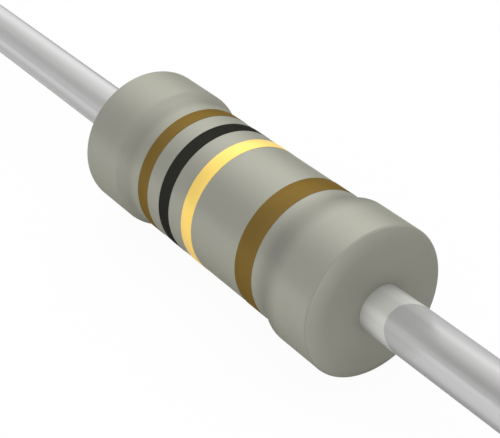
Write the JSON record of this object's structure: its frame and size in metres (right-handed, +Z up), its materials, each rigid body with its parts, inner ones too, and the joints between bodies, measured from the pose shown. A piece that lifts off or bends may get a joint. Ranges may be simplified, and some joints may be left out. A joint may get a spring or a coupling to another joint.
{
  "type": "metal film resistor",
  "caption": "Axial metal film resistor: grey lacquered body with colour bands, capped ends and straight wire leads.",
  "frame": {"origin": "centre of the body, on the axis of the leads", "axes": "+X along the leads, out of the right end, which is the end with the wide tolerance band; +Z up"},
  "size_m": [0.0626, 0.0024, 0.0024],
  "materials": {
    "ceramic": "matte",
    "resistive_film": "satin",
    "cap_steel": "satin",
    "tinned_wire": "polished",
    "grey_lacquer": "satin",
    "brown_paint": "satin",
    "black_paint": "satin",
    "gold_paint": "satin"
  },
  "bodies": {
    "root": {"ceramic_rod": "ceramic", "metal_film": "resistive_film", "end_cap_left": "cap_steel", "end_cap_right": "cap_steel", "lead_wire_left": "tinned_wire", "lead_wire_right": "tinned_wire", "coating": "grey_lacquer", "first_band_brown": "brown_paint", "second_band_black": "black_paint", "multiplier_band_gold": "gold_paint", "tolerance_band_brown": "brown_paint"}
  },
  "joints": []
}
